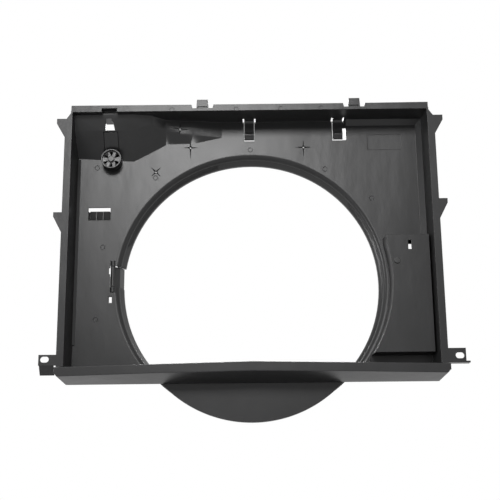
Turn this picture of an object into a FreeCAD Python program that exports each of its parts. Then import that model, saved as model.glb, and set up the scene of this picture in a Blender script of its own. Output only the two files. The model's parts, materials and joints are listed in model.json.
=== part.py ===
import FreeCAD, Part
import math
import os
import Sketcher

# Radiator fan shroud.  Origin in the plane of the rim that seals on the radiator, midway between the
# side walls and a little above the fan axis.
# +X to the right seen from the radiator, +Y towards the engine (the way the air goes), +Z up.
# Millimetres.

doc = FreeCAD.newDocument("fan_shroud")
sheet = doc.addObject("Spreadsheet::Sheet", "dims")
vec = FreeCAD.Vector


class Size:
    """A length that knows both its number and the spreadsheet formula it comes from."""

    def __init__(self, number, formula):
        self.number = float(number)
        self.formula = formula

    def joined(self, other, sign, number):
        other = as_size(other)
        return Size(number, "(%s %s %s)" % (self.formula, sign, other.formula))

    def __add__(self, other):
        return self.joined(other, "+", self.number + float(other))

    def __sub__(self, other):
        return self.joined(other, "-", self.number - float(other))

    def __mul__(self, other):
        return self.joined(other, "*", self.number * float(other))

    def __truediv__(self, other):
        return self.joined(other, "/", self.number / float(other))

    def __radd__(self, other):
        return as_size(other) + self

    def __rsub__(self, other):
        return as_size(other) - self

    def __rmul__(self, other):
        return as_size(other) * self

    def __neg__(self):
        return Size(-self.number, "(-%s)" % self.formula)

    def __float__(self):
        return self.number


def as_size(value):
    if isinstance(value, Size):
        return value
    return Size(value, "%.6g" % value if value >= 0 else "(%.6g)" % value)


class Dims:
    """The driving dimensions: each one is a named cell of the sheet, written once."""

    def __init__(self):
        self.row = 0

    def add(self, name, number):
        self.row += 1
        sheet.set("A%d" % self.row, name)
        sheet.set("B%d" % self.row, str(number))
        sheet.setAlias("B%d" % self.row, name)
        setattr(self, name, Size(number, "dims." + name))


d = Dims()

# Rim and tray: the box that stands on the radiator.
d.add("rimHalf", 280)          # half the inside width at the rim
d.add("rimTop", 264)           # inside of the top wall above the origin
d.add("rimDrop", 140)          # top edge of the lower rail below the origin
d.add("flange", 11)            # width of the sealing flange
d.add("wall", 2.5)             # moulded wall
d.add("deep", 50)              # rim to front face of the back plate
d.add("draft", 3.5)            # how far the side walls lean in over that depth
d.add("gap", 0.3)              # clearance between pieces that move
# Fan ring.
d.add("axisDrop", 5.5)         # fan axis below the origin
d.add("mouth", 8)              # rounding of the back plate into the ring
d.add("ringInner", 206)        # inside radius where the mouth ends and the ring begins
d.add("lipInner", 201)         # radius of the fan opening
d.add("ringLong", 25)          # front of the back plate to the end of the ring
d.add("bossCircle", 229)       # radius of the circle of bosses that carry the ring
# Lower rail and scoop.
d.add("railHigh", 14)          # front face of the lower rail
d.add("railFall", 7)           # how far its underside falls towards the back
d.add("scoopRound", 190)       # radius of the scoop's outline
d.add("scoopDrop", 220)        # lowest point of the scoop below the origin
# Ears with slots for the fixing screws.
d.add("slotSpan", 616)         # between slot centres
d.add("slotDrop", 129)         # slot centres below the origin
d.add("slotLong", 13)
d.add("slotWide", 9)
d.add("earReach", 317)         # outer edge of an ear
d.add("earThick", 3)
# Corner block with the strap and the turning knob.
d.add("blockRise", 38)         # upper face of the block in front of the back plate
d.add("strapWide", 22)
d.add("strapAt", 222)          # strap centre left of the origin
d.add("knobRound", 16)
d.add("knobDeep", 14.9)
d.add("knobUp", 197.5)         # knob centre above the origin
# Access cover in the lower right corner.
d.add("coverRise", 31)
d.add("coverTop", 64.5)
d.add("coverLeft", 214)
# Spring tongues, top catches and ring flap.
d.add("tongueWide", 16)
d.add("tongueDrop", 33)
d.add("tongueLeftAt", -1)
d.add("tongueRightAt", 142)
d.add("catchWide", 19)
d.add("catchRise", 14)
d.add("catchLeftAt", -74.5)
d.add("catchRightAt", 165.5)
d.add("flapHigh", 34)          # height of the flap's pocket
d.add("flapLow", 9)            # pocket's lower edge below the origin
d.add("flapPivot", 217)        # flap hinge left of the origin

doc.recompute()


# ---------------------------------------------------------------- helpers

def origin_plane(body, role):
    for feature in body.Origin.OriginFeatures:
        if feature.Role == role:
            return feature
    raise ValueError("no plane " + role)


def bind(owner, prop, size):
    size = as_size(size)
    setattr(owner, prop, float(size))
    owner.setExpression(prop, size.formula)


def new_body(label):
    body = doc.addObject("PartDesign::Body", label)
    body.Label = label
    return body


# How a point of each origin plane reads in the part's frame, and the sign of its normal.
plane_axes = {"XZ_Plane": -1, "XY_Plane": 1, "YZ_Plane": 1}


def new_sketch(body, name, role, at, rise=0):
    """A sketch on the origin plane with that role, moved along the plane's axis and up by rise."""
    sketch = body.newObject("Sketcher::SketchObject", name)
    sketch.AttachmentSupport = [(origin_plane(body, role), "")]
    sketch.MapMode = "FlatFace"
    offset = as_size(at) * plane_axes[role]
    rise = as_size(rise)
    sketch.AttachmentOffset = FreeCAD.Placement(vec(0, float(rise), float(offset)), FreeCAD.Rotation())
    sketch.setExpression(".AttachmentOffset.Base.y", rise.formula)
    sketch.setExpression(".AttachmentOffset.Base.z", offset.formula)
    return sketch


def fix(sketch, kind, *args):
    """Adds a constraint whose last argument is a Size and ties it to the sheet."""
    size = as_size(args[-1])
    number = sketch.addConstraint(Sketcher.Constraint(kind, *args[:-1], float(size)))
    sketch.setExpression("Constraints[%d]" % number, size.formula)


def fix_point(sketch, piece, end, point):
    fix(sketch, "DistanceX", -1, 1, piece, end, point[0])
    fix(sketch, "DistanceY", -1, 1, piece, end, point[1])


def polygon(sketch, points):
    """A closed outline of straight edges, every corner tied to the sheet."""
    first = sketch.GeometryCount
    count = len(points)
    for i in range(count):
        a = points[i]
        b = points[(i + 1) % count]
        line = Part.LineSegment(vec(float(a[0]), float(a[1]), 0), vec(float(b[0]), float(b[1]), 0))
        sketch.addGeometry(line, False)
    for i in range(count):
        here = first + i
        after = first + (i + 1) % count
        sketch.addConstraint(Sketcher.Constraint("Coincident", here, 2, after, 1))
        fix_point(sketch, here, 1, points[i])


def box_outline(x_low, x_high, y_low, y_high):
    return [(x_low, y_low), (x_high, y_low), (x_high, y_high), (x_low, y_high)]


def circle(sketch, x, y, radius):
    piece = sketch.addGeometry(Part.Circle(vec(float(x), float(y), 0), vec(0, 0, 1), float(radius)), False)
    fix_point(sketch, piece, 3, (x, y))
    fix(sketch, "Radius", piece, radius)


def slot(sketch, x, y, long, wide):
    """A round-ended slot along the sketch's first axis."""
    radius = wide / 2
    reach = long / 2 - radius
    left = x - reach
    right = x + reach
    r = float(radius)
    up = math.pi / 2
    base = sketch.GeometryCount
    cy = float(y)
    sketch.addGeometry(Part.LineSegment(vec(float(left), cy - r, 0), vec(float(right), cy - r, 0)), False)
    right_end = Part.Circle(vec(float(right), cy, 0), vec(0, 0, 1), r)
    sketch.addGeometry(Part.ArcOfCircle(right_end, -up, up), False)
    sketch.addGeometry(Part.LineSegment(vec(float(right), cy + r, 0), vec(float(left), cy + r, 0)), False)
    left_end = Part.Circle(vec(float(left), cy, 0), vec(0, 0, 1), r)
    sketch.addGeometry(Part.ArcOfCircle(left_end, up, 3 * up), False)
    sketch.addConstraint(Sketcher.Constraint("Tangent", base, 2, base + 1, 1))
    sketch.addConstraint(Sketcher.Constraint("Tangent", base + 1, 2, base + 2, 1))
    sketch.addConstraint(Sketcher.Constraint("Tangent", base + 2, 2, base + 3, 1))
    sketch.addConstraint(Sketcher.Constraint("Tangent", base + 3, 2, base, 1))
    fix_point(sketch, base + 1, 3, (right, y))
    fix_point(sketch, base + 3, 3, (left, y))
    fix(sketch, "Radius", base + 1, radius)


def pad(body, sketch, name, length, backwards=False):
    """Pads along the plane's own axis; backwards turns the pad to the lower side."""
    feature = body.newObject("PartDesign::Pad", name)
    feature.Profile = sketch
    bind(feature, "Length", length)
    role_sign = -1 if "XZ" in sketch.AttachmentSupport[0][0].Role else 1
    feature.Reversed = (role_sign < 0) != backwards
    return feature


def pocket(body, sketch, name, length, backwards=False):
    feature = body.newObject("PartDesign::Pocket", name)
    feature.Profile = sketch
    bind(feature, "Length", length)
    role_sign = -1 if "XZ" in sketch.AttachmentSupport[0][0].Role else 1
    feature.Reversed = (role_sign > 0) != backwards
    return feature


def y_pad(body, name, outline, start, length):
    """Pads an outline drawn in X and Z from Y = start towards the engine."""
    sketch = new_sketch(body, name + "_sketch", "XZ_Plane", start)
    polygon(sketch, outline)
    return pad(body, sketch, name, length)


def y_pocket(body, name, outline, start, length):
    sketch = new_sketch(body, name + "_sketch", "XZ_Plane", start)
    polygon(sketch, outline)
    return pocket(body, sketch, name, length)


def x_pad(body, name, outline, start, length):
    """Pads an outline drawn in Y and Z from X = start to the right."""
    sketch = new_sketch(body, name + "_sketch", "YZ_Plane", start)
    polygon(sketch, outline)
    return pad(body, sketch, name, length)


def x_pocket(body, name, outline, start, length):
    sketch = new_sketch(body, name + "_sketch", "YZ_Plane", start)
    polygon(sketch, outline)
    return pocket(body, sketch, name, length)


def y_loft(body, name, near, near_at, far, far_at, cut=False):
    """A ruled loft between two outlines in X and Z, at two places along Y."""
    first = new_sketch(body, name + "_near", "XZ_Plane", near_at)
    polygon(first, near)
    second = new_sketch(body, name + "_far", "XZ_Plane", far_at)
    polygon(second, far)
    feature = body.newObject("PartDesign::SubtractiveLoft" if cut else "PartDesign::AdditiveLoft", name)
    feature.Profile = first
    feature.Sections = [second]
    feature.Ruled = True
    return feature


def x_loft(body, name, sections, cut=False):
    """A ruled loft through outlines in Y and Z, each given with its place along X."""
    sketches = []
    for number, (place, outline) in enumerate(sections):
        sketch = new_sketch(body, "%s_%d" % (name, number + 1), "YZ_Plane", place)
        polygon(sketch, outline)
        sketches.append(sketch)
    feature = body.newObject("PartDesign::SubtractiveLoft" if cut else "PartDesign::AdditiveLoft", name)
    feature.Profile = sketches[0]
    feature.Sections = sketches[1:]
    feature.Ruled = True
    return feature


# ---------------------------------------------------------------- shared places

wall = d.wall
plate_back = d.deep + wall
foot_half = d.rimHalf - d.draft
rim_outer = d.rimHalf + d.flange
rim_upper = d.rimTop + d.flange
floor_front = -(d.rimDrop + 3)
floor_back = floor_front - 3
floor_under = floor_back - wall
fan_axis = -d.axisDrop
block_face = d.deep - d.blockRise
channel_half = d.strapWide / 2 + 0.8
strap_left = -d.strapAt - d.strapWide / 2
strap_right = -d.strapAt + d.strapWide / 2
strap_foot = d.deep - d.gap
knob_back = strap_foot - wall - d.gap
knob_front = knob_back - d.knobDeep
knob_x = -d.strapAt
knob_seat = d.knobRound + 0.7
pivot_round = as_size(2.4)
cover_face = d.deep - d.coverRise
mouth_edge = d.ringInner + d.mouth
boss_back = plate_back + 4
cover_bottom = -(d.rimDrop - 19)
cover_shoulder = as_size(11)
rivet_spot = (d.coverLeft + 10.4, d.coverTop - 43)
hood_roof = d.rimTop + 6
flap_top = d.flapHigh - d.flapLow
flap_bottom = -d.flapLow
ring_back = d.deep + d.ringLong
screw_round = as_size(1.9)
screw_angles = [20, 62, 118, 152, 200, 332]
flap_barrel = as_size(3.6)
flap_deep = d.deep + 2
pin_round = as_size(1.5)
left_ledge = as_size(99)
right_ledge = as_size(115)
flap_sight_outline = (-d.flapPivot - 6, -d.flapPivot - 0.5, flap_bottom - 25, flap_bottom - 14)


slope_top = d.rimTop - 24.3
slope_front = block_face + 7.3
slope_lean = (d.deep - slope_front) / 39.5


def slope_at(z):
    """Y of the block's slope where the strap lies on it."""
    return slope_front + (slope_top - z) * slope_lean


def ring_screw_spots():
    spots = []
    for angle in screw_angles:
        turn = math.radians(angle)
        spots.append((d.bossCircle * math.cos(turn), fan_axis + d.bossCircle * math.sin(turn)))
    return spots


def scoop_screw_spots():
    """Places in X and Y on the scoop's flange under the tray's floor."""
    return [(x, d.deep - 9) for x in (-96, -32, 32, 96)]


# ---------------------------------------------------------------- shroud housing

def housing_flange_outline():
    """The sealing flange with its four hooks, two ears and the notches beside the top catches."""
    ledge_up = rim_upper - 22
    reach = rim_outer + 13
    notch_floor = d.rimTop + 4.5

    def side_edge(ledge_low):
        return [
            (rim_outer, -(d.rimDrop)), (rim_outer, ledge_low - 32), (reach, ledge_low - 7),
            (reach, ledge_low), (rim_outer, ledge_low), (rim_outer, rim_upper - 53),
            (reach, rim_upper - 30), (reach, ledge_up), (rim_outer - 2, ledge_up),
            (rim_outer - 9, rim_upper - 12), (rim_outer - 9, rim_upper),
        ]
    top = []
    for centre in (d.catchRightAt, d.catchLeftAt):
        side = d.catchWide / 2 + 8
        top.append((centre + side, rim_upper - 0.5))
        top.append((centre + side - 1.5, notch_floor))
        top.append((centre - side + 1.5, notch_floor))
        top.append((centre - side, rim_upper - 0.5))
    left = [(-x, z) for x, z in reversed(side_edge(left_ledge))]
    return side_edge(right_ledge) + top + left


def make_housing():
    body = new_body("shroud_housing")
    tray_near = box_outline(-d.rimHalf - wall, d.rimHalf + wall, floor_front - wall, d.rimTop + wall)
    tray_far = box_outline(-foot_half - wall, foot_half + wall, floor_under, d.rimTop + wall)
    y_loft(body, "tray_outside", tray_near, 0, tray_far, plate_back)
    y_pad(body, "flange", housing_flange_outline(), 0, wall)
    room_near = box_outline(-d.rimHalf, d.rimHalf, floor_front, d.rimTop)
    room_far = box_outline(-foot_half, foot_half, floor_back, d.rimTop)
    y_loft(body, "tray_inside", room_near, 0, room_far, d.deep, cut=True)

    # Front edge of the floor is cut back by one wall for the rail's front face.
    rail_seat = box_outline(-rim_outer - 1, rim_outer + 1, floor_front - 20, -(d.rimDrop))
    y_pocket(body, "rail_seat", rail_seat, 0, wall + d.gap)

    make_block(body)

    make_wall_foot(body)

    # Opening for the fan ring, with its rounded mouth.
    hole = new_sketch(body, "ring_hole_sketch", "XZ_Plane", d.deep - 1)
    circle(hole, 0, fan_axis, mouth_edge)
    pocket(body, hole, "ring_hole", wall + 2)
    make_ring_mouth(body)

    # Bosses with blind holes for the ring's screws.
    bosses = new_sketch(body, "ring_boss_sketch", "XZ_Plane", plate_back - 0.5)
    for x, z in ring_screw_spots():
        polygon(bosses, hexagon(x, z, as_size(5.4)))
    pad(body, bosses, "ring_bosses", 4.5)
    add_holes(body, "ring_boss_holes", ring_screw_spots(), d.deep + 1, 6)

    # The flap's pocket and the openings behind the tongues.
    flap_pocket = box_outline(-d.flapPivot - flap_barrel - 0.6, -d.ringInner + 12, flap_bottom, flap_top)
    y_pocket(body, "flap_pocket", flap_pocket, d.deep - 1, d.mouth + 4)
    finger = box_outline(-d.flapPivot - 6, -d.flapPivot, flap_top - 13, flap_top - 3)
    y_pocket(body, "flap_finger", finger, d.deep - 1, wall + 2)
    sight = box_outline(*flap_sight_outline)
    y_pocket(body, "flap_sight", sight, d.deep - 1, wall + 2)
    for side, centre in (("left", d.tongueLeftAt), ("right", d.tongueRightAt)):
        half = d.tongueWide / 2 + d.gap
        foot = box_outline(centre - half, centre + half, d.rimTop - d.tongueDrop - d.gap, d.rimTop + 1)
        y_pocket(body, side + "_tongue_opening", foot, d.deep - 14, wall + 15)
        roof = box_outline(centre - half - 2, centre + half + 2, d.rimTop - 0.2, d.rimTop + wall + 1)
        y_pocket(body, side + "_tongue_roof", roof, d.deep - 14, wall + 15)
    blade = d.tongueRightAt + d.tongueWide / 2
    y_pocket(body, "blade_slot", box_outline(blade, blade + 5.5, d.rimTop - 33, d.rimTop - 12), d.deep - 9,
             wall + 10)

    make_window_hood(body, as_size(-258), as_size(-223), as_size(100), as_size(121))

    # Shallow recess for a label, and the flow marks of the moulding.
    y_pocket(body, "label_recess", box_outline(190, 245, 214, 240), d.deep - 1, 1.4)
    add_star(body, "star_left", as_size(-96.3), as_size(220.8), 5, 7, 19)
    add_star(body, "star_right", as_size(86.4), as_size(219.6), 13, 9, 16.5)

    # Access hole behind the corner cover.
    access = box_outline(d.coverLeft + 24, d.coverLeft + 48, 28, 56)
    y_pocket(body, "access_hole", access, d.deep - 1, wall + 2)
    hole = new_sketch(body, "rivet_seat_sketch", "XZ_Plane", d.deep - 1)
    circle(hole, rivet_spot[0], rivet_spot[1], screw_round + 0.15)
    pocket(body, hole, "rivet_seat", wall + 2)

    floor_holes = new_sketch(body, "floor_hole_sketch", "XY_Plane", floor_under - 1)
    for x, y in scoop_screw_spots():
        circle(floor_holes, x, y, screw_round + 0.15)
    pocket(body, floor_holes, "floor_holes", wall + 3)

    # Boss behind the plate for the knob's pivot.
    add_round(body, "pivot_boss", [(knob_x, d.knobUp)], d.deep, as_size(7), wall + 5)
    bore = new_sketch(body, "pivot_bore_sketch", "XZ_Plane", d.deep - 1)
    circle(bore, knob_x, d.knobUp, pivot_round + 0.1)
    pocket(body, bore, "pivot_bore", wall + 8)

    # Knuckles above and below the flap's pocket.
    for name, low in (("upper", flap_top), ("lower", flap_bottom - 8)):
        barrel = new_sketch(body, name + "_knuckle_sketch", "XY_Plane", low)
        circle(barrel, -d.flapPivot, flap_deep, flap_barrel + 0.6)
        pad(body, barrel, name + "_knuckle", as_size(8))
    bore = new_sketch(body, "flap_pin_bore_sketch", "XY_Plane", flap_bottom - 8.5)
    circle(bore, -d.flapPivot, flap_deep, pin_round + 0.1)
    pocket(body, bore, "flap_pin_bore", d.flapHigh + 17)

    make_hook_ledges(body)
    make_ears(body)
    return body


def make_block(body):
    """Wedge moulded into the upper left corner, with the strap's channel and the knob's seat."""
    top = d.rimTop
    face = block_face
    plate = d.deep
    rear = plate + 1

    def section(near, fold, fold_drop, foot_drop):
        return [(near, top), (fold, top - fold_drop), (plate, top - foot_drop), (rear, top - foot_drop),
                (rear, top)]

    x_loft(body, "block_outside", [
        (-foot_half - 2.55, section(face + 1.6, face + 8, 24, 60)),
        (as_size(-187), section(face, face + 8, 24.5, 66)),
        (as_size(-157), section(face + 6, face + 11, 13, 50)),
        (as_size(-135), section(face + 26, face + 28, 19, 38)),
        (as_size(-92), section(plate - 7, plate - 6, 23.3, 36.7)),
        (as_size(-46), section(plate - 0.2, plate - 0.1, 26, 27)),
    ])

    def room(near, fold, fold_drop, foot_drop):
        behind = plate_back + 1
        return [(near, top - 0.5), (fold, top - fold_drop), (behind, top - foot_drop), (behind, top - 0.5)]

    x_loft(body, "block_inside", [
        (-foot_half + 1.5, room(face + 4.4, face + 12.9, 22.7, 56)),
        (as_size(-187), room(face + 2.8, face + 12.8, 23.3, 61.8)),
        (as_size(-157), room(face + 8.8, face + 15.8, 12, 45.8)),
        (as_size(-139), room(face + 25.5, face + 29.6, 17, 36.6)),
    ], cut=True)

    knee = d.knobUp + knob_seat + 2.8
    rib = [(slope_at(knee - 11) + 0.6, knee - 11), (plate_back, knee - 11), (plate_back, knee + 6),
           (slope_at(knee) + 1, knee + 6), (slope_at(knee) + 1, knee)]
    x_pad(body, "seat_rib", rib, knob_x - 20, 40)
    high = slope_top - 1.2
    channel = [(face - 8, high), (slope_at(high) + wall + 0.9, high), (slope_at(knee) + wall + 0.9, knee),
               (plate - 0.1, knee), (plate - 0.1, d.knobUp - 14), (face - 8, d.knobUp - 14)]
    x_pocket(body, "strap_channel", channel, knob_x - channel_half, channel_half * 2)
    seat = new_sketch(body, "knob_seat_sketch", "XZ_Plane", face)
    circle(seat, knob_x, d.knobUp, knob_seat)
    pocket(body, seat, "knob_seat", plate - face - 0.05)
    window = [(strap_left + 4.1, top - 5.3), (strap_right - 9.2, top - 5.4), (strap_right - 9.1, top - 9.2),
              (strap_right - 6.5, top - 11.8), (strap_right - 4.1, slope_top + 0.8),
              (strap_left + 3.4, slope_top + 0.8)]
    y_pocket(body, "strap_window", window, face - 4, 18)
    # Over the strap the top wall stands up as a hood.
    hood = box_outline(knob_x - 15, knob_x + 15, top, hood_roof + wall)
    y_pad(body, "channel_hood", hood, 0, face + 4)
    notch = box_outline(knob_x - 12, knob_x + 12, top - 1, hood_roof)
    y_pocket(body, "channel_notch", notch, -1, face + 1.5)


def add_star(body, name, x, z, side, up, down):
    """Flow mark round a moulding point: four tapered grooves that cross."""
    across = [(x - side, z), (x, z - 0.9), (x + side, z), (x, z + 0.9)]
    along = [(x, z - down), (x + 0.9, z), (x, z + up), (x - 0.9, z)]
    y_pocket(body, name + "_across", across, d.deep - 1, 1.6)
    y_pocket(body, name + "_along", along, d.deep - 1, 1.6)


def make_ring_mouth(body):
    """Rounded edge of the back plate that leads the air into the fan ring."""
    inner = d.ringInner
    r = d.mouth
    y = d.deep
    sketch = new_sketch(body, "mouth_profile", "YZ_Plane", 0, fan_axis)
    polygon(sketch, [
        (y, mouth_edge + 2), (y, mouth_edge), (y + r * 0.134, inner + r * 0.5),
        (y + r * 0.5, inner + r * 0.134), (y + r, inner), (y + r, inner + wall),
        (y + wall + r * 0.22, inner + r * 0.47), (y + wall, mouth_edge), (y + wall, mouth_edge + 2),
    ])
    turn = body.newObject("PartDesign::Revolution", "ring_mouth")
    turn.Profile = sketch
    turn.ReferenceAxis = (sketch, ["H_Axis"])
    turn.Angle = 360
    below = box_outline(-mouth_edge - 10, mouth_edge + 10, -mouth_edge - 30, floor_under)
    y_pocket(body, "mouth_trim", below, d.deep - 1, r + 3)


def make_wall_foot(body):
    """Chamfers where the right wall and the top wall meet the back plate."""
    size = as_size(8)
    corner = foot_half + 1
    sketch = new_sketch(body, "right_foot_sketch", "XY_Plane", d.coverTop + d.gap)
    polygon(sketch, [(corner, d.deep - size), (corner, d.deep + 0.5), (corner - size - 1, d.deep + 0.5),
                     (corner - size - 1, d.deep)])
    pad(body, sketch, "right_foot", d.rimTop + 1 - d.coverTop - d.gap)
    top = [(d.deep - size, d.rimTop + 0.5), (d.deep, d.rimTop - size), (d.deep + 0.5, d.rimTop - size),
           (d.deep + 0.5, d.rimTop + 0.5)]
    x_pad(body, "top_foot", top, 156, foot_half + 0.5 - 156)
    sketch = new_sketch(body, "left_foot_sketch", "XY_Plane", -100)
    left = size / 2
    inner = -corner + left + 1
    polygon(sketch, [(-corner, d.deep - left), (inner, d.deep), (inner, d.deep + 0.5),
                     (-corner, d.deep + 0.5)])
    pad(body, sketch, "left_foot", as_size(302))


def make_window_hood(body, left, right, low, high):
    """Box behind the cable window, open at its top, so that little air slips past the cable."""
    hood = box_outline(left - wall, right + wall, low - wall, high - 4)
    y_pad(body, "window_hood", hood, d.deep + 0.5, 14)
    y_pocket(body, "cable_window", box_outline(left, right, low, high), d.deep - 1, 13)


def make_hook_ledges(body):
    """The flat ledge behind each hook, which lies on the radiator's side tank."""
    reach = rim_outer + 13
    for side in (-1, 1):
        lower = left_ledge if side < 0 else right_ledge
        for name, ledge in (("upper", rim_upper - 22), ("lower", lower)):
            label = name + ("_left" if side < 0 else "_right") + "_ledge"
            inner = side * (d.rimHalf + wall / 2)
            outer = side * reach
            low, high = (outer, inner) if side < 0 else (inner, outer)
            y_pad(body, label, box_outline(low, high, ledge - wall, ledge), wall / 2, 16)


def make_ears(body):
    """Ears with a slot for the screw; the left one folds back at the bottom, the right one has a fin."""
    for side in (-1, 1):
        label = "left_ear" if side < 0 else "right_ear"
        top = -(d.slotDrop - (7 if side < 0 else 11))
        bottom = -(d.slotDrop + 9)
        inner = side * (d.rimHalf + wall / 2)
        outer = side * d.earReach
        low, high = (outer, inner) if side < 0 else (inner, outer)
        y_pad(body, label, box_outline(low, high, bottom, top), 0, d.earThick)
        holes = new_sketch(body, label + "_slot_sketch", "XZ_Plane", -1)
        slot(holes, side * d.slotSpan / 2, -d.slotDrop, d.slotLong, d.slotWide)
        pocket(body, holes, label + "_slot", d.earThick + 2)
    # Fold under the left ear, leaning back as it goes down.
    low = -(d.slotDrop + 8)
    fold = [(0, low), (d.earThick, low), (13, low - 14), (10.5, low - 14.5)]
    x_pad(body, "left_ear_fold", fold, -d.earReach + 1, d.earReach - rim_outer - 4.5)
    # Fin under the right ear, and a web that carries it on the side wall.
    fin_top = d.gap + wall - d.rimDrop
    fin = box_outline(d.rimHalf + wall / 2, d.earReach + 6, fin_top - wall, fin_top)
    y_pad(body, "right_ear_fin", fin, 0, 14)


# ---------------------------------------------------------------- lower rail and scoop

def make_lower_rail():
    """Trough along the bottom edge: upright front face, underside falling to the back, closed ends."""
    body = new_body("lower_rail")
    top = -(d.rimDrop)
    knee = top - d.railHigh
    low = knee - d.railFall
    back = d.deep - 1
    half = rim_outer + 3

    def section(rise):
        return [(0, top + rise), (wall, top + rise), (wall, knee + wall * 0.8 + rise), (back, low + wall),
                (back, low), (0, knee + rise)]

    x_loft(body, "rail", [(-half, section(-0.4)), (as_size(-151), section(3)), (as_size(0), section(5.5)),
                          (as_size(151), section(3)), (half, section(-0.4))])
    # The ends are cut off on a slope under the knee.
    for side, name in ((-1, "left"), (1, "right")):
        slope = [
            (side * (half + 1), knee + 4), (side * (half - 1), knee + 4),
            (side * (half - 11), low - 1), (side * (half + 1), low - 1),
        ]
        y_pocket(body, name + "_slope", slope, -1, d.deep + 2)
    # End caps close the trough between the front face and the underside.
    for side, name in ((-1, "left"), (1, "right")):
        inner = side * (half - 14)
        cap = [(wall - 0.5, knee + wall * 0.7), (back, low + wall * 0.7), (back, floor_under - d.gap),
               (wall - 0.5, floor_front - wall - d.gap)]
        x_pad(body, name + "_cap", cap, inner - wall / 2, wall)
    return body


def make_lower_scoop():
    """D-shaped plate that closes the ring where it hangs below the rail."""
    body = new_body("lower_scoop")
    chord = floor_under - d.gap
    radius = d.scoopRound
    centre = -(d.scoopDrop) + radius
    rise = float(chord - centre)
    half = math.sqrt(float(radius) ** 2 - rise ** 2)
    start = math.atan2(rise, -half)
    finish = math.atan2(rise, half)

    def disc(name, at, smaller):
        sketch = new_sketch(body, name, "XZ_Plane", at)
        r = radius - smaller
        h = math.sqrt(float(r) ** 2 - rise ** 2)
        whole = Part.Circle(vec(0, float(centre), 0), vec(0, 0, 1), float(r))
        sketch.addGeometry(Part.ArcOfCircle(whole, start + 2 * math.pi, finish + 2 * math.pi), False)
        sketch.addGeometry(Part.LineSegment(vec(h, float(chord), 0), vec(-h, float(chord), 0)), False)
        sketch.addConstraint(Sketcher.Constraint("Coincident", 0, 2, 1, 1))
        sketch.addConstraint(Sketcher.Constraint("Coincident", 1, 2, 0, 1))
        fix_point(sketch, 0, 3, (as_size(0), centre))
        fix(sketch, "Radius", 0, r)
        sketch.addConstraint(Sketcher.Constraint("Horizontal", 1))
        fix(sketch, "DistanceY", -1, 1, 1, 1, chord)
        return sketch

    pad(body, disc("scoop_outline", d.deep, as_size(0)), "scoop", d.mouth)
    hollow = disc("scoop_hollow", d.deep + wall, as_size(3))
    pocket(body, hollow, "scoop_hollow_cut", d.mouth)
    # Flange along the straight edge, under the tray's floor, with its screw holes.
    y_pad(body, "scoop_flange", box_outline(-112, 112, chord - wall, chord), d.deep - 17, 18)
    holes = new_sketch(body, "scoop_hole_sketch", "XY_Plane", chord - wall - 1)
    for x, y in scoop_screw_spots():
        circle(holes, x, y, screw_round + 0.15)
    pocket(body, holes, "scoop_holes", wall + 2)
    return body


# ---------------------------------------------------------------- fan ring

def below_ring(body, name, at, radius, chord):
    """Everything outside a circle about the fan axis and below a level line."""
    sketch = new_sketch(body, name, "XZ_Plane", at, fan_axis)
    r = float(radius)
    chord = chord - fan_axis
    z = float(chord)
    half = math.sqrt(r ** 2 - z ** 2)
    side = d.ringInner + 40
    low = -side
    corners = [(side, chord), (side, low), (-side, low), (-side, chord)]
    whole = Part.Circle(vec(0, 0, 0), vec(0, 0, 1), r)
    angle = math.atan2(z, half)
    sketch.addGeometry(Part.ArcOfCircle(whole, -math.pi - angle, angle), False)
    sketch.addGeometry(Part.LineSegment(vec(half, z, 0), vec(float(side), z, 0)), False)
    for i in range(3):
        a = corners[i]
        b = corners[i + 1]
        line = Part.LineSegment(vec(float(a[0]), float(a[1]), 0), vec(float(b[0]), float(b[1]), 0))
        sketch.addGeometry(line, False)
    sketch.addGeometry(Part.LineSegment(vec(-float(side), z, 0), vec(-half, z, 0)), False)
    for i in range(6):
        after = (i + 1) % 6
        sketch.addConstraint(Sketcher.Constraint("Coincident", i, 2, after, 1))
    fix_point(sketch, 0, 3, (as_size(0), as_size(0)))
    fix(sketch, "Radius", 0, radius)
    for piece, corner in ((2, 0), (3, 1), (4, 2), (5, 3)):
        fix_point(sketch, piece, 1, corners[corner])
    sketch.addConstraint(Sketcher.Constraint("Horizontal", 1))
    sketch.addConstraint(Sketcher.Constraint("Horizontal", 5))
    return sketch


def make_fan_ring():
    """Ring turned about the fan axis: a foot flange on the bosses, a cone and a short lip."""
    body = new_body("fan_ring")
    inner = d.ringInner
    lip = d.lipInner
    front = d.deep + d.mouth + d.gap
    sketch = new_sketch(body, "ring_profile", "YZ_Plane", 0, fan_axis)
    profile = [
        (boss_back, d.bossCircle + 7), (boss_back, inner + 11), (front + 0.5, inner),
        (ring_back - 5, lip), (ring_back, lip), (ring_back, lip + wall),
        (front + wall + 0.5, inner + wall + 1), (boss_back + wall, inner + 11),
        (boss_back + wall, d.bossCircle + 7),
    ]
    polygon(sketch, profile)
    turn = body.newObject("PartDesign::Revolution", "ring")
    turn.Profile = sketch
    turn.ReferenceAxis = (sketch, ["H_Axis"])
    turn.Angle = 360
    # The foot flange is trimmed where the ring hangs below the tray.
    pocket(body, below_ring(body, "foot_trim_sketch", boss_back - 1, inner + wall, floor_under - 1),
           "foot_trim", as_size(7))
    gap = box_outline(-d.flapPivot - 30, -d.lipInner + 20, flap_bottom, flap_top)
    y_pocket(body, "flap_gap", gap, boss_back - 1, d.ringLong)
    knuckle_room = box_outline(-d.flapPivot - 30, -inner - 5, flap_bottom - 9, flap_top + 9)
    y_pocket(body, "knuckle_room", knuckle_room, boss_back - 1, as_size(7))
    sight = box_outline(*flap_sight_outline)
    y_pocket(body, "flap_sight", sight, boss_back - 1, wall + 2)
    add_holes(body, "ring_foot_holes", ring_screw_spots(), boss_back - 1, wall + 2)
    return body


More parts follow.
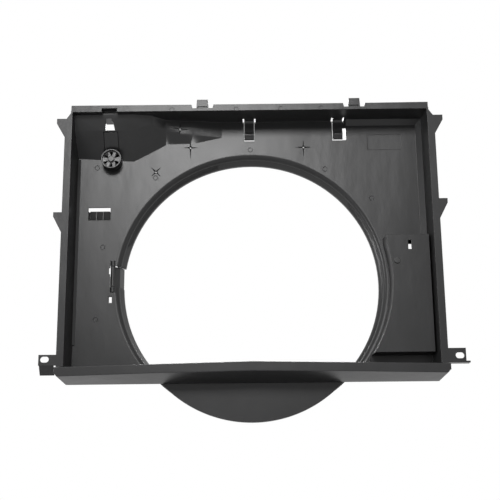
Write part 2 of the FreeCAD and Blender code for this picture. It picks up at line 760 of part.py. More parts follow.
def add_holes(body, name, spots, at, length):
    """Clearance holes for the screws."""
    sketch = new_sketch(body, name + "_sketch", "XZ_Plane", at)
    for x, z in spots:
        circle(sketch, x, z, screw_round + 0.15)
    return pocket(body, sketch, name, length)


def add_round(body, name, spots, at, radius, length):
    sketch = new_sketch(body, name + "_sketch", "XZ_Plane", at)
    for x, z in spots:
        circle(sketch, x, z, radius)
    return pad(body, sketch, name, length)


def hexagon(x, y, radius):
    corners = []
    for i in range(6):
        turn = math.pi / 3 * i
        corners.append((x + radius * math.cos(turn), y + radius * math.sin(turn)))
    return corners


def make_ring_screws():
    """Hexagon-head screws from the engine side, through the ring's foot into the back plate."""
    body = new_body("ring_screws")
    body.AllowCompound = True
    heads = new_sketch(body, "heads_sketch", "XZ_Plane", boss_back + wall)
    for x, z in ring_screw_spots():
        polygon(heads, hexagon(x, z, screw_round * 2))
    pad(body, heads, "heads", 2.2)
    tip = d.deep + 1.3
    add_round(body, "shanks", ring_screw_spots(), tip, screw_round, boss_back + wall + 0.5 - tip)
    return body


def make_scoop_screws():
    """Screws up through the scoop's flange into the tray's floor."""
    flange_under = floor_under - d.gap - wall
    body = new_body("scoop_screws")
    body.AllowCompound = True
    heads = new_sketch(body, "heads_sketch", "XY_Plane", flange_under - 2)
    for x, y in scoop_screw_spots():
        polygon(heads, hexagon(x, y, screw_round * 2))
    pad(body, heads, "heads", 2)
    shanks = new_sketch(body, "shanks_sketch", "XY_Plane", flange_under - 1)
    for x, y in scoop_screw_spots():
        circle(shanks, x, y, screw_round)
    pad(body, shanks, "shanks", wall * 2 + 1.1)
    return body


# ---------------------------------------------------------------- strap and turning knob

def make_strap():
    """Strap down the block's slope, stepped back to a round eye under the knob."""
    body = new_body("latch_strap")
    high = d.rimTop - 26.5
    knee = d.knobUp + knob_seat
    thick = wall + 0.5
    profile = [
        (slope_at(high), high), (slope_at(knee), knee), (knob_back + d.gap, knee),
        (knob_back + d.gap, d.knobUp),
        (strap_foot, d.knobUp), (strap_foot, knee + wall), (slope_at(knee + wall) + thick, knee + wall),
        (slope_at(high) + thick, high),
    ]
    x_pad(body, "strap", profile, strap_left, d.strapWide)
    add_round(body, "strap_eye", [(knob_x, d.knobUp)], knob_back + d.gap, d.strapWide / 2, wall)
    hole = new_sketch(body, "strap_hole_sketch", "XZ_Plane", knob_back)
    circle(hole, knob_x, d.knobUp, pivot_round + 0.15)
    pocket(body, hole, "strap_hole", wall + 4)
    return body


def make_knob():
    """Cup-shaped knob: rim, sunk face with six radial slots, raised hub."""
    body = new_body("turn_knob")
    disc = new_sketch(body, "knob_sketch", "XZ_Plane", knob_front)
    circle(disc, knob_x, d.knobUp, d.knobRound)
    pad(body, disc, "knob", d.knobDeep)
    sunk = new_sketch(body, "sunk_sketch", "XZ_Plane", knob_front - 1)
    circle(sunk, knob_x, d.knobUp, d.knobRound - 1.8)
    circle(sunk, knob_x, d.knobUp, 5.2)
    pocket(body, sunk, "sunk_face", 5)
    hub = new_sketch(body, "hub_sketch", "XZ_Plane", knob_front - 1)
    circle(hub, knob_x, d.knobUp, 5.4)
    pocket(body, hub, "hub_top", 2.5)
    hole = new_sketch(body, "hole_sketch", "XZ_Plane", knob_front - 1)
    circle(hole, knob_x, d.knobUp, pivot_round + d.gap)
    pocket(body, hole, "pivot_hole", d.knobDeep + 2)
    turn = math.radians(60)
    for i in range(6):
        angle = turn * i + turn / 2
        along = vec(math.cos(angle), math.sin(angle), 0)
        across = vec(-along.y, along.x, 0)
        corners = []
        for reach, side in ((6.6, -1.0), (13.2, -2.1), (13.2, 2.1), (6.6, 1.0)):
            place = along * reach + across * side
            corners.append((knob_x + place.x, d.knobUp + place.y))
        y_pocket(body, "slot_%d" % (i + 1), corners, knob_front, d.knobDeep - 1.6)
    return body


def make_pivot():
    """Headed pin on which the knob turns, set in the boss behind the strap."""
    body = new_body("knob_pivot")
    head = new_sketch(body, "head_sketch", "XZ_Plane", knob_front + 0.2)
    circle(head, knob_x, d.knobUp, 4.4)
    pad(body, head, "head", 1)
    shank = new_sketch(body, "shank_sketch", "XZ_Plane", knob_front + 1)
    circle(shank, knob_x, d.knobUp, pivot_round)
    pad(body, shank, "shank", d.deep + wall + 4 - knob_front)
    return body


# ---------------------------------------------------------------- corner cover

def cover_outline(body, name, at, inset, round_inset):
    """Straight on three sides with a short shoulder, the fourth side follows the ring."""
    right = foot_half - 0.5 - inset / 4
    top = d.coverTop - inset
    shoulder = top - cover_shoulder
    bottom = cover_bottom + inset / 2
    radius = mouth_edge + 2 + round_inset
    r = float(radius)
    left = math.sqrt(r ** 2 - float(shoulder - fan_axis) ** 2)
    far = math.sqrt(r ** 2 - float(bottom - fan_axis) ** 2)
    sketch = new_sketch(body, name, "XZ_Plane", at)
    corners = [
        vec(float(right), float(bottom), 0), vec(float(right), float(top), 0), vec(left, float(top), 0),
        vec(left, float(shoulder), 0), vec(far, float(bottom), 0),
    ]
    for i in range(3):
        sketch.addGeometry(Part.LineSegment(corners[i], corners[i + 1]), False)
    whole = Part.Circle(vec(0, float(fan_axis), 0), vec(0, 0, 1), r)
    low_angle = math.atan2(float(bottom - fan_axis), far)
    high_angle = math.atan2(float(shoulder - fan_axis), left)
    sketch.addGeometry(Part.ArcOfCircle(whole, low_angle, high_angle), False)
    sketch.addGeometry(Part.LineSegment(corners[4], corners[0]), False)
    for a, a_end, b, b_end in ((0, 2, 1, 1), (1, 2, 2, 1), (2, 2, 3, 2), (3, 1, 4, 1), (4, 2, 0, 1)):
        sketch.addConstraint(Sketcher.Constraint("Coincident", a, a_end, b, b_end))
    fix_point(sketch, 3, 3, (as_size(0), fan_axis))
    fix(sketch, "Radius", 3, radius)
    fix_point(sketch, 0, 1, (right, bottom))
    fix_point(sketch, 1, 1, (right, top))
    fix(sketch, "DistanceY", -1, 1, 2, 2, shoulder)
    sketch.addConstraint(Sketcher.Constraint("Horizontal", 1))
    sketch.addConstraint(Sketcher.Constraint("Vertical", 2))
    sketch.addConstraint(Sketcher.Constraint("Horizontal", 4))
    return sketch


def make_cover():
    """Raised panel over the lower right corner, hollow behind."""
    body = new_body("corner_cover")
    foot = cover_outline(body, "cover_foot", d.deep, 0, 0)
    top = cover_outline(body, "cover_top", cover_face, 1.5, 1.5)
    shell = body.newObject("PartDesign::AdditiveLoft", "cover")
    shell.Profile = foot
    shell.Sections = [top]
    foot = cover_outline(body, "cover_foot_inside", d.deep + 0.5, wall, wall)
    top = cover_outline(body, "cover_top_inside", cover_face + wall, wall + 1.5, wall + 1.5)
    hollow = body.newObject("PartDesign::SubtractiveLoft", "cover_hollow")
    hollow.Profile = foot
    hollow.Sections = [top]
    cut = box_outline(d.coverLeft + 28.8, d.coverLeft + 33.8, d.coverTop - 25, d.coverTop - 9.8)
    y_pocket(body, "cover_slot", cut, cover_face - 1, wall + 3)
    hole = new_sketch(body, "rivet_hole_sketch", "XZ_Plane", cover_face - 1)
    circle(hole, rivet_spot[0], rivet_spot[1], screw_round + 0.15)
    pocket(body, hole, "rivet_hole", wall + 3)
    return body


def make_cover_rivet():
    """Push rivet that holds the cover on the back plate."""
    body = new_body("cover_rivet")
    add_round(body, "head", [rivet_spot], cover_face - 1.8, 4.6, 1.8)
    add_round(body, "shank", [rivet_spot], cover_face - 1, screw_round, d.coverRise + wall + 3)
    return body


# ---------------------------------------------------------------- spring tongues and catches

def make_tongue(label, centre):
    """Hooked strip that hangs from the top wall in front of its opening in the back plate."""
    body = new_body(label)
    root = d.deep - 14 + d.gap
    top = d.rimTop
    tip = top - d.tongueDrop
    face = d.deep - 3
    profile = [
        (root, top), (face - 3, top), (face, top - 3), (face + 0.5, tip + 16), (face - 3.5, tip + 10),
        (face - 3.5, tip + 8), (face, tip + 4), (face - 1.5, tip + 0.5), (face + 0.5, tip),
        (face + 2.2, tip + 4), (face - 1, tip + 9), (face + 2.7, tip + 15.5), (face + 2.4, top - 1.5),
        (face - 1.6, top + 2.3), (root, top + 2.3),
    ]
    x_pad(body, "strip", profile, centre - d.tongueWide / 2, d.tongueWide)
    return body


def make_catch(label, centre):
    """Flat loop above the rim; a slot at its root takes the radiator's hook."""
    body = new_body(label)
    low = d.rimTop + 4.5 + d.gap
    high = low + d.catchRise
    half = d.catchWide / 2
    loop = [(centre - half, low), (centre + half, low), (centre + half - 0.8, high),
            (centre - half + 0.8, high)]
    y_pad(body, "loop", loop, 0, wall)
    hole = box_outline(centre - half + 2, centre + half - 2, low - 1, low + 2.4)
    y_pocket(body, "hook_slot", hole, -1, 2.6)
    bridge = box_outline(centre - half, centre + half, low, low + 0.6)
    y_pad(body, "bridge", bridge, wall - 0.9, 0.9)
    return body


# ---------------------------------------------------------------- ring flap

def make_flap():
    """Air flap that fills the gap in the ring wall and swings outwards on an upright pin."""
    body = new_body("ring_flap")
    pivot = -d.flapPivot
    low = flap_bottom + 0.6
    high = d.flapHigh - 1.2
    sketch = new_sketch(body, "barrel_sketch", "XY_Plane", low)
    circle(sketch, pivot, flap_deep, flap_barrel)
    pad(body, sketch, "barrel", high)
    ring = -d.ringInner
    lip = -d.lipInner
    near = flap_deep + 1.5
    door = [
        (pivot, near), (ring - 0.5, d.deep + d.mouth), (lip - 0.5, ring_back - 1.5),
        (lip - 2.8, ring_back - 1),
        (ring - 2.5, d.deep + d.mouth + 2), (pivot, near + 2),
    ]
    sketch = new_sketch(body, "door_sketch", "XY_Plane", low)
    polygon(sketch, door)
    pad(body, sketch, "door", high)
    hole = new_sketch(body, "pin_hole_sketch", "XY_Plane", low - 1)
    circle(hole, pivot, flap_deep, pin_round + d.gap)
    pocket(body, hole, "pin_hole", d.flapHigh + 2)
    return body


def make_flap_pin():
    body = new_body("flap_pin")
    sketch = new_sketch(body, "pin_sketch", "XY_Plane", flap_bottom - 7)
    circle(sketch, -d.flapPivot, flap_deep, pin_round)
    pad(body, sketch, "pin", d.flapHigh + 14)
    return body


def make_ring_stop():
    """Small fin and angle beside the ring, above the rail, that stop the ring from turning."""
    body = new_body("ring_stop")
    edge = []
    for angle, out in ((-33.5, 0.8), (-35, 2.5), (-36.5, 4.5), (-37.6, 6.0)):
        radius = mouth_edge + out
        turn = math.radians(angle)
        edge.append((radius * math.cos(turn), fan_axis + radius * math.sin(turn)))
    fin = edge + [(x + 1.8, z) for x, z in reversed(edge)]
    y_pad(body, "fin", fin, d.deep - 9, 9)
    left, high = edge[3]
    low = high - 4
    y_pad(body, "foot", box_outline(left, left + 8.8, low, high + 1), d.deep - 2, 2)
    y_pad(body, "angle", box_outline(left + 7, left + 8.8, low, high + 8), d.deep - 9, 9)
    return body


# ---------------------------------------------------------------- all pieces

nodes = [
    make_housing(), make_lower_rail(), make_lower_scoop(), make_fan_ring(), make_ring_screws(),
    make_scoop_screws(), make_strap(), make_knob(), make_pivot(), make_cover(), make_cover_rivet(),
    make_tongue("left_tongue", d.tongueLeftAt), make_tongue("right_tongue", d.tongueRightAt),
    make_catch("left_top_catch", d.catchLeftAt), make_catch("right_top_catch", d.catchRightAt),
    make_flap(), make_flap_pin(), make_ring_stop(),
]

doc.recompute()
for item in doc.Objects:
    if "Invalid" in item.State or "Error" in item.State:
        raise RuntimeError("failed feature " + item.Label)
for node in nodes:
    if node.Shape.isNull() or not node.Shape.isValid():
        raise RuntimeError("bad shape " + node.Label)
    print(node.Label, len(node.Shape.Solids), round(node.Shape.Volume))

os.makedirs("parts", exist_ok=True)
for node in nodes:
    node.Shape.exportStep("parts/%s.step" % node.Label)
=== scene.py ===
import bmesh
import bpy
import json
import math
from mathutils import Matrix, Vector
from mathutils.bvhtree import BVHTree

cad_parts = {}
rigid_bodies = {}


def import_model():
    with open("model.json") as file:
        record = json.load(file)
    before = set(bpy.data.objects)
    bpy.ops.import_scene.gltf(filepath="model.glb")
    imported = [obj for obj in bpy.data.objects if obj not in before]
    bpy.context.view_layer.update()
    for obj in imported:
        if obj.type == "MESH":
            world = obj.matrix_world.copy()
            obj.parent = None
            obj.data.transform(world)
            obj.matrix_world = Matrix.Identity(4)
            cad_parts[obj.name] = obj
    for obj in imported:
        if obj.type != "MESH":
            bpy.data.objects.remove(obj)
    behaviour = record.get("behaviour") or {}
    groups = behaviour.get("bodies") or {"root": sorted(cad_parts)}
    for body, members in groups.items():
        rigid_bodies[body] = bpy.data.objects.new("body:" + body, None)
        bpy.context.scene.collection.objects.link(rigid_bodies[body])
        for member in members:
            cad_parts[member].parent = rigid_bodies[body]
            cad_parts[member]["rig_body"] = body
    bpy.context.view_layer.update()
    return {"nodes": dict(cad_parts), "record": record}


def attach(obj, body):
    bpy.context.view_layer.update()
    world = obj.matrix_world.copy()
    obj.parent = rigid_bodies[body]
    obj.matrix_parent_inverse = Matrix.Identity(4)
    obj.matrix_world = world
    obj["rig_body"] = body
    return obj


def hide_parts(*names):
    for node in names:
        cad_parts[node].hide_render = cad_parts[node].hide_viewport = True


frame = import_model()
nodes = frame["nodes"]
slotOfNode = {part["node"]: part["material_slot"] for part in frame["record"]["subparts"]}
print("frame loaded:", len(nodes), "nodes")

# camera: on the radiator side, a little below, turned up to the fan axis
cameraSetup = {
    "place": (0.0026, -1.4728, -0.3526),
    "pitch": 14.76,
    "roll": -0.58,
    "yaw": -0.16,
    "lens": 72,
}


def makeCamera(setup):
    pitch = math.radians(setup["pitch"])
    yaw = math.radians(setup["yaw"])
    roll = math.radians(setup["roll"])
    forward = Vector((math.sin(yaw) * math.cos(pitch), math.cos(yaw) * math.cos(pitch), math.sin(pitch)))
    right = Vector((math.cos(yaw), -math.sin(yaw), 0))
    up = right.cross(forward)
    rightRolled = right * math.cos(roll) + up * math.sin(roll)
    upRolled = up * math.cos(roll) - right * math.sin(roll)
    data = bpy.data.cameras.new("camera")
    data.lens = setup["lens"]
    data.sensor_width = 36
    camera = bpy.data.objects.new("camera", data)
    turn = Matrix((rightRolled, upRolled, -forward)).transposed()
    camera.matrix_world = Matrix.Translation(setup["place"]) @ turn.to_4x4()
    bpy.context.collection.objects.link(camera)
    bpy.context.scene.camera = camera


makeCamera(cameraSetup)
print("camera set")

# soft boxes as azimuth and elevation seen from the part, in degrees; azimuth 0 is the radiator side
lightSetup = {
    "key": {"azimuth": -5, "elevation": 26, "size": (0.7, 0.7), "power": 45},
    "left": {"azimuth": -75, "elevation": 0, "size": (0.8, 0.8), "power": 34},
    "right": {"azimuth": 70, "elevation": -5, "size": (0.8, 0.8), "power": 2},
    "top": {"azimuth": 0, "elevation": 85, "size": (0.8, 0.8), "power": 16},
    "behind": {"azimuth": 180, "elevation": 30, "size": (1.0, 0.8), "power": 52},
}
lightReach = 2.6


def makeLight(name, setup):
    data = bpy.data.lights.new(name, "AREA")
    data.shape = "RECTANGLE"
    data.size, data.size_y = setup["size"]
    data.energy = setup["power"]
    light = bpy.data.objects.new(name, data)
    azimuth = math.radians(setup["azimuth"])
    elevation = math.radians(setup["elevation"])
    away = Vector((math.sin(azimuth) * math.cos(elevation), -math.cos(azimuth) * math.cos(elevation),
                   math.sin(elevation)))
    turn = away.to_track_quat("Z", "Y").to_matrix().to_4x4()
    light.matrix_world = Matrix.Translation(away * lightReach) @ turn
    bpy.context.collection.objects.link(light)


for name, setup in lightSetup.items():
    makeLight(name, setup)

worldSetup = {"fill": 0.15, "seen": 1.0}


def makeWorld(setup):
    world = bpy.data.worlds.new("studio")
    world.use_nodes = True
    tree = world.node_tree
    tree.nodes.clear()
    out = tree.nodes.new("ShaderNodeOutputWorld")
    mix = tree.nodes.new("ShaderNodeMixShader")
    dim = tree.nodes.new("ShaderNodeBackground")
    white = tree.nodes.new("ShaderNodeBackground")
    path = tree.nodes.new("ShaderNodeLightPath")
    cameraOrGlossy = tree.nodes.new("ShaderNodeMath")
    anySeen = tree.nodes.new("ShaderNodeMath")
    cameraOrGlossy.operation = "MAXIMUM"
    anySeen.operation = "MAXIMUM"
    dim.inputs["Strength"].default_value = setup["fill"]
    white.inputs["Strength"].default_value = setup["seen"]
    for background in (dim, white):
        background.inputs["Color"].default_value = (1, 1, 1, 1)
    link = tree.links.new
    link(path.outputs["Is Camera Ray"], cameraOrGlossy.inputs[0])
    link(path.outputs["Is Glossy Ray"], cameraOrGlossy.inputs[1])
    link(cameraOrGlossy.outputs[0], anySeen.inputs[0])
    link(path.outputs["Is Transmission Ray"], anySeen.inputs[1])
    link(anySeen.outputs[0], mix.inputs["Fac"])
    link(dim.outputs[0], mix.inputs[1])
    link(white.outputs[0], mix.inputs[2])
    link(mix.outputs[0], out.inputs["Surface"])
    bpy.context.scene.world = world


makeWorld(worldSetup)
bpy.context.scene.view_settings.view_transform = "Standard"
print("lights and world set")

# moulded plastic: tone and gloss drift along the flow of the melt, fine grain, scuffed edges
plasticLooks = {
    "shroudPlastic": {"dark": 0.007, "light": 0.019, "edge": 0.06, "rough": 0.34, "shine": 0.31,
                      "grain": 0.06, "sink": 0.6},
    "fittingPlastic": {"dark": 0.006, "light": 0.014, "edge": 0.04, "rough": 0.33, "shine": 0.4,
                       "grain": 0.04, "sink": 0.0},
}

plasticDetail = {
    "flowScale": 7, "flowStretch": (1.0, 1.0, 0.45), "cloudScale": 34, "grainScale": 1500, "speckScale": 420,
    "flowShare": 0.7, "edgeRadius": 0.0009, "edgeRub": 2.2, "dustAbove": 0.71, "dustShare": 0.25,
    "roughSpread": 0.07, "grainDepth": 0.0004, "sinkDepth": 0.004,
}


def noiseNode(tree, place, scale, detail, stretch=(1, 1, 1)):
    mapping = tree.nodes.new("ShaderNodeMapping")
    mapping.inputs["Scale"].default_value = stretch
    noise = tree.nodes.new("ShaderNodeTexNoise")
    noise.inputs["Scale"].default_value = scale
    noise.inputs["Detail"].default_value = detail
    tree.links.new(place.outputs["Object"], mapping.inputs["Vector"])
    tree.links.new(mapping.outputs["Vector"], noise.inputs["Vector"])
    return noise


def mathNode(tree, operation, first, second):
    node = tree.nodes.new("ShaderNodeMath")
    node.operation = operation
    for socket, value in zip(node.inputs, (first, second)):
        if isinstance(value, (int, float)):
            socket.default_value = value
        else:
            tree.links.new(value, socket)
    return node.outputs[0]


def mixColor(tree, factor, first, second):
    node = tree.nodes.new("ShaderNodeMix")
    node.data_type = "RGBA"
    tree.links.new(factor, node.inputs["Factor"])
    for socket, value in ((node.inputs["A"], first), (node.inputs["B"], second)):
        if isinstance(value, tuple):
            socket.default_value = value
        else:
            tree.links.new(value, socket)
    return node.outputs["Result"]


def grey(value):
    return (value, value, value * 1.03, 1)


def plasticMaterial(name, look, detail):
    material = bpy.data.materials.new(name)
    material.use_nodes = True
    tree = material.node_tree
    tree.nodes.clear()
    new = tree.nodes.new
    link = tree.links.new
    out = new("ShaderNodeOutputMaterial")
    shader = new("ShaderNodeBsdfPrincipled")
    place = new("ShaderNodeTexCoord")
    geometry = new("ShaderNodeNewGeometry")
    flow = noiseNode(tree, place, detail["flowScale"], 5, detail["flowStretch"])
    cloud = noiseNode(tree, place, detail["cloudScale"], 6)
    grain = noiseNode(tree, place, detail["grainScale"], 2)
    speck = noiseNode(tree, place, detail["speckScale"], 3)
    share = detail["flowShare"]
    drift = mathNode(tree, "ADD", mathNode(tree, "MULTIPLY", flow.outputs["Fac"], share),
                     mathNode(tree, "MULTIPLY", cloud.outputs["Fac"], round(1 - share, 3)))
    tone = mixColor(tree, drift, grey(look["dark"]), grey(look["light"]))
    # edges: where the rounded normal leaves the face's own, the plastic is rubbed a little lighter
    edge = new("ShaderNodeBevel")
    edge.samples = 6
    edge.inputs["Radius"].default_value = detail["edgeRadius"]
    along = new("ShaderNodeVectorMath")
    along.operation = "DOT_PRODUCT"
    link(edge.outputs["Normal"], along.inputs[0])
    link(geometry.outputs["Normal"], along.inputs[1])
    turned = mathNode(tree, "SUBTRACT", 1.0, along.outputs["Value"])
    rubbed = mathNode(tree, "MULTIPLY", turned, detail["edgeRub"])
    worn = mathNode(tree, "MULTIPLY", rubbed, cloud.outputs["Fac"])
    wornClamp = mathNode(tree, "MINIMUM", worn, 1.0)
    tone = mixColor(tree, wornClamp, tone, grey(look["edge"]))
    dust = mathNode(tree, "GREATER_THAN", speck.outputs["Fac"], detail["dustAbove"])
    dustSoft = mathNode(tree, "MULTIPLY", dust, detail["dustShare"])
    tone = mixColor(tree, dustSoft, tone, grey(look["edge"]))
    link(tone, shader.inputs["Base Color"])
    rough = new("ShaderNodeMapRange")
    rough.inputs["To Min"].default_value = look["rough"] - detail["roughSpread"]
    rough.inputs["To Max"].default_value = look["rough"] + detail["roughSpread"]
    link(drift, rough.inputs["Value"])
    link(rough.outputs["Result"], shader.inputs["Roughness"])
    shader.inputs["Specular IOR Level"].default_value = look["shine"]
    fine = new("ShaderNodeBump")
    fine.inputs["Strength"].default_value = look["grain"]
    fine.inputs["Distance"].default_value = detail["grainDepth"]
    link(grain.outputs["Fac"], fine.inputs["Height"])
    link(edge.outputs["Normal"], fine.inputs["Normal"])
    normal = fine
    if look["sink"]:
        sink = new("ShaderNodeBump")  # long shallow waves of a big thin moulding
        sink.inputs["Strength"].default_value = look["sink"]
        sink.inputs["Distance"].default_value = detail["sinkDepth"]
        link(flow.outputs["Fac"], sink.inputs["Height"])
        link(fine.outputs["Normal"], sink.inputs["Normal"])
        normal = sink
    link(normal.outputs["Normal"], shader.inputs["Normal"])
    link(shader.outputs[0], out.inputs["Surface"])
    return material


steelLook = {"color": (0.42, 0.42, 0.43), "dull": 0.75, "cloudScale": 260, "smooth": 0.26, "rough": 0.46}


def steelMaterial(name, look):
    material = bpy.data.materials.new(name)
    material.use_nodes = True
    tree = material.node_tree
    shader = tree.nodes["Principled BSDF"]
    shader.inputs["Metallic"].default_value = 1.0
    place = tree.nodes.new("ShaderNodeTexCoord")
    cloud = noiseNode(tree, place, look["cloudScale"], 4)
    bright = (*look["color"], 1)
    dull = (*[part * look["dull"] for part in look["color"]], 1)
    tone = mixColor(tree, cloud.outputs["Fac"], dull, bright)
    tree.links.new(tone, shader.inputs["Base Color"])
    rough = tree.nodes.new("ShaderNodeMapRange")
    rough.inputs["To Min"].default_value = look["smooth"]
    rough.inputs["To Max"].default_value = look["rough"]
    tree.links.new(cloud.outputs["Fac"], rough.inputs["Value"])
    tree.links.new(rough.outputs["Result"], shader.inputs["Roughness"])
    return material


materials = {name: plasticMaterial(name, look, plasticDetail) for name, look in plasticLooks.items()}
materials["zincSteel"] = steelMaterial("zincSteel", steelLook)
materialOfSlot = {"shroud_plastic": "shroudPlastic", "fitting_plastic": "fittingPlastic",
                  "fastener_steel": "zincSteel"}
print("materials made")

# pieces that stand for CAD nodes: same shape, edges rounded by "round" metres, smooth over curves
pieceSetup = {
    "shroud_housing": {"piece": "shroudHousing", "round": 0.0},
    "lower_rail": {"piece": "lowerRail", "round": 0.0009},
    "lower_scoop": {"piece": "lowerScoop", "round": 0.0006},
    "fan_ring": {"piece": "fanRing", "round": 0.0},
    "latch_strap": {"piece": "latchStrap", "round": 0.0004},
    "turn_knob": {"piece": "turnKnob", "round": 0.0},
    "knob_pivot": {"piece": "knobPivot", "round": 0.0003},
    "corner_cover": {"piece": "cornerCover", "round": 0.0008},
    "cover_rivet": {"piece": "coverRivet", "round": 0.0004},
    "left_tongue": {"piece": "leftTongue", "round": 0.0003},
    "right_tongue": {"piece": "rightTongue", "round": 0.0003},
    "left_top_catch": {"piece": "leftTopCatch", "round": 0.0003},
    "right_top_catch": {"piece": "rightTopCatch", "round": 0.0003},
    "ring_flap": {"piece": "ringFlap", "round": 0.0003},
    "flap_pin": {"piece": "flapPin", "round": 0.0},
    "ring_stop": {"piece": "ringStop", "round": 0.0003},
}


mergeSetup = {"distance": 2e-6, "flatAngle": 0.6}
bevelSetup = {"segments": 2, "angle": 40}
smoothAngle = 32


def mergedMesh(nodeName):
    mesh = nodes[nodeName].data.copy()
    mesh.materials.clear()
    work = bmesh.new()
    work.from_mesh(mesh)
    bmesh.ops.remove_doubles(work, verts=work.verts, dist=mergeSetup["distance"])
    flat = math.radians(mergeSetup["flatAngle"])
    bmesh.ops.dissolve_limit(work, angle_limit=flat, verts=work.verts, edges=work.edges)
    work.to_mesh(mesh)
    work.free()
    return mesh


def evaluatedMesh(thing):
    bpy.context.view_layer.update()
    graph = bpy.context.evaluated_depsgraph_get()
    return bpy.data.meshes.new_from_object(thing.evaluated_get(graph))


def freezeModifiers(thing):
    mesh = evaluatedMesh(thing)
    thing.modifiers.clear()
    thing.data = mesh
    return thing


def smoothByAngle(mesh):
    mesh.shade_smooth()
    mesh.set_sharp_from_angle(angle=math.radians(smoothAngle))


def weightNormals(thing):
    smoothByAngle(thing.data)
    weighted = thing.modifiers.new("weighted", "WEIGHTED_NORMAL")  # flat faces stay flat
    weighted.weight = 100
    weighted.keep_sharp = True
    freezeModifiers(thing)


def addPiece(name, mesh, body, materialName, replaced=None):
    thing = bpy.data.objects.new(name, mesh)
    bpy.context.collection.objects.link(thing)
    return finishPiece(thing, body, materialName, replaced)


def finishPiece(thing, body, materialName, replaced=None):
    thing.data.name = thing.name
    thing.data.materials.clear()
    thing.data.materials.append(materials[materialName])
    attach(thing, body)
    if replaced:
        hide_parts(replaced)
    return thing


def roundEdges(thing, width):
    bevel = thing.modifiers.new("bevel", "BEVEL")
    bevel.width = width
    bevel.segments = bevelSetup["segments"]
    bevel.limit_method = "ANGLE"
    bevel.angle_limit = math.radians(bevelSetup["angle"])
    bevel.use_clamp_overlap = True
    freezeModifiers(thing)


def makeCopies():
    made = {}
    for nodeName, setup in pieceSetup.items():
        thing = bpy.data.objects.new(setup["piece"], mergedMesh(nodeName))
        bpy.context.collection.objects.link(thing)
        if setup["round"]:
            roundEdges(thing, setup["round"])
        weightNormals(thing)
        slotName = slotOfNode[nodeName]
        finishPiece(thing, nodes[nodeName]["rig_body"], materialOfSlot[slotName], nodeName)
        made[nodeName] = thing
    return made


pieces = makeCopies()
print("copies made:", len(pieces))


# small repeated fittings and marks: one stud per point, stood on the way that its point faces
def readInputs(tree):
    return {item.name: item.identifier for item in tree.interface.items_tree
            if item.item_type == "SOCKET" and item.in_out == "INPUT"}


def newTree(name, inputs):
    tree = bpy.data.node_groups.new(name, "GeometryNodeTree")
    tree.interface.new_socket("Geometry", in_out="INPUT", socket_type="NodeSocketGeometry")
    for label, kind in inputs:
        tree.interface.new_socket(label, in_out="INPUT", socket_type="NodeSocket" + kind)
    tree.interface.new_socket("Geometry", in_out="OUTPUT", socket_type="NodeSocketGeometry")
    source = tree.nodes.new("NodeGroupInput")
    target = tree.nodes.new("NodeGroupOutput")
    return tree, source, target


def finishTree(tree, source, target, geometry):
    realize = tree.nodes.new("GeometryNodeRealizeInstances")
    paint = tree.nodes.new("GeometryNodeSetMaterial")
    tree.links.new(geometry, realize.inputs["Geometry"])
    tree.links.new(realize.outputs[0], paint.inputs["Geometry"])
    tree.links.new(source.outputs["Finish"], paint.inputs["Material"])
    tree.links.new(paint.outputs[0], target.inputs["Geometry"])


def instanceOnFacing(tree, source, shape):
    facing = tree.nodes.new("GeometryNodeInputNamedAttribute")
    facing.data_type = "FLOAT_VECTOR"
    facing.inputs["Name"].default_value = "facing"
    aim = tree.nodes.new("FunctionNodeAlignRotationToVector")
    aim.axis = "Z"
    place = tree.nodes.new("GeometryNodeInstanceOnPoints")
    link = tree.links.new
    link(facing.outputs["Attribute"], aim.inputs["Vector"])
    link(source.outputs["Geometry"], place.inputs["Points"])
    link(shape, place.inputs["Instance"])
    link(aim.outputs["Rotation"], place.inputs["Rotation"])
    return place.outputs["Instances"]


def makeStudTree():
    tree, source, target = newTree("studTree", (
        ("Sides", "Int"), ("Radius", "Float"), ("Height", "Float"), ("Rim", "Float"), ("Recess", "Float"),
        ("Finish", "Material")))
    link = tree.links.new
    body = tree.nodes.new("GeometryNodeMeshCylinder")
    lift = tree.nodes.new("GeometryNodeTransform")
    raised = tree.nodes.new("ShaderNodeCombineXYZ")
    inset = tree.nodes.new("GeometryNodeExtrudeMesh")
    shrink = tree.nodes.new("GeometryNodeScaleElements")
    sink = tree.nodes.new("GeometryNodeExtrudeMesh")
    half = mathNode(tree, "MULTIPLY", source.outputs["Height"], 0.5)
    down = mathNode(tree, "MULTIPLY", source.outputs["Recess"], -1.0)
    link(source.outputs["Sides"], body.inputs["Vertices"])
    link(source.outputs["Radius"], body.inputs["Radius"])
    link(source.outputs["Height"], body.inputs["Depth"])
    link(body.outputs["Mesh"], inset.inputs["Mesh"])
    link(body.outputs["Top"], inset.inputs["Selection"])
    inset.inputs["Offset Scale"].default_value = 0.0
    link(inset.outputs["Mesh"], shrink.inputs["Geometry"])
    link(inset.outputs["Top"], shrink.inputs["Selection"])
    link(source.outputs["Rim"], shrink.inputs["Scale"])
    link(shrink.outputs["Geometry"], sink.inputs["Mesh"])
    link(inset.outputs["Top"], sink.inputs["Selection"])
    link(down, sink.inputs["Offset Scale"])
    link(half, raised.inputs["Z"])
    link(raised.outputs[0], lift.inputs["Translation"])
    link(sink.outputs["Mesh"], lift.inputs["Geometry"])
    finishTree(tree, source, target, instanceOnFacing(tree, source, lift.outputs["Geometry"]))
    return tree


starRoot = {"sides": 4, "hub": 0.0012, "tip": 0.0001}  # the arms are thin cones laid flat round a hub


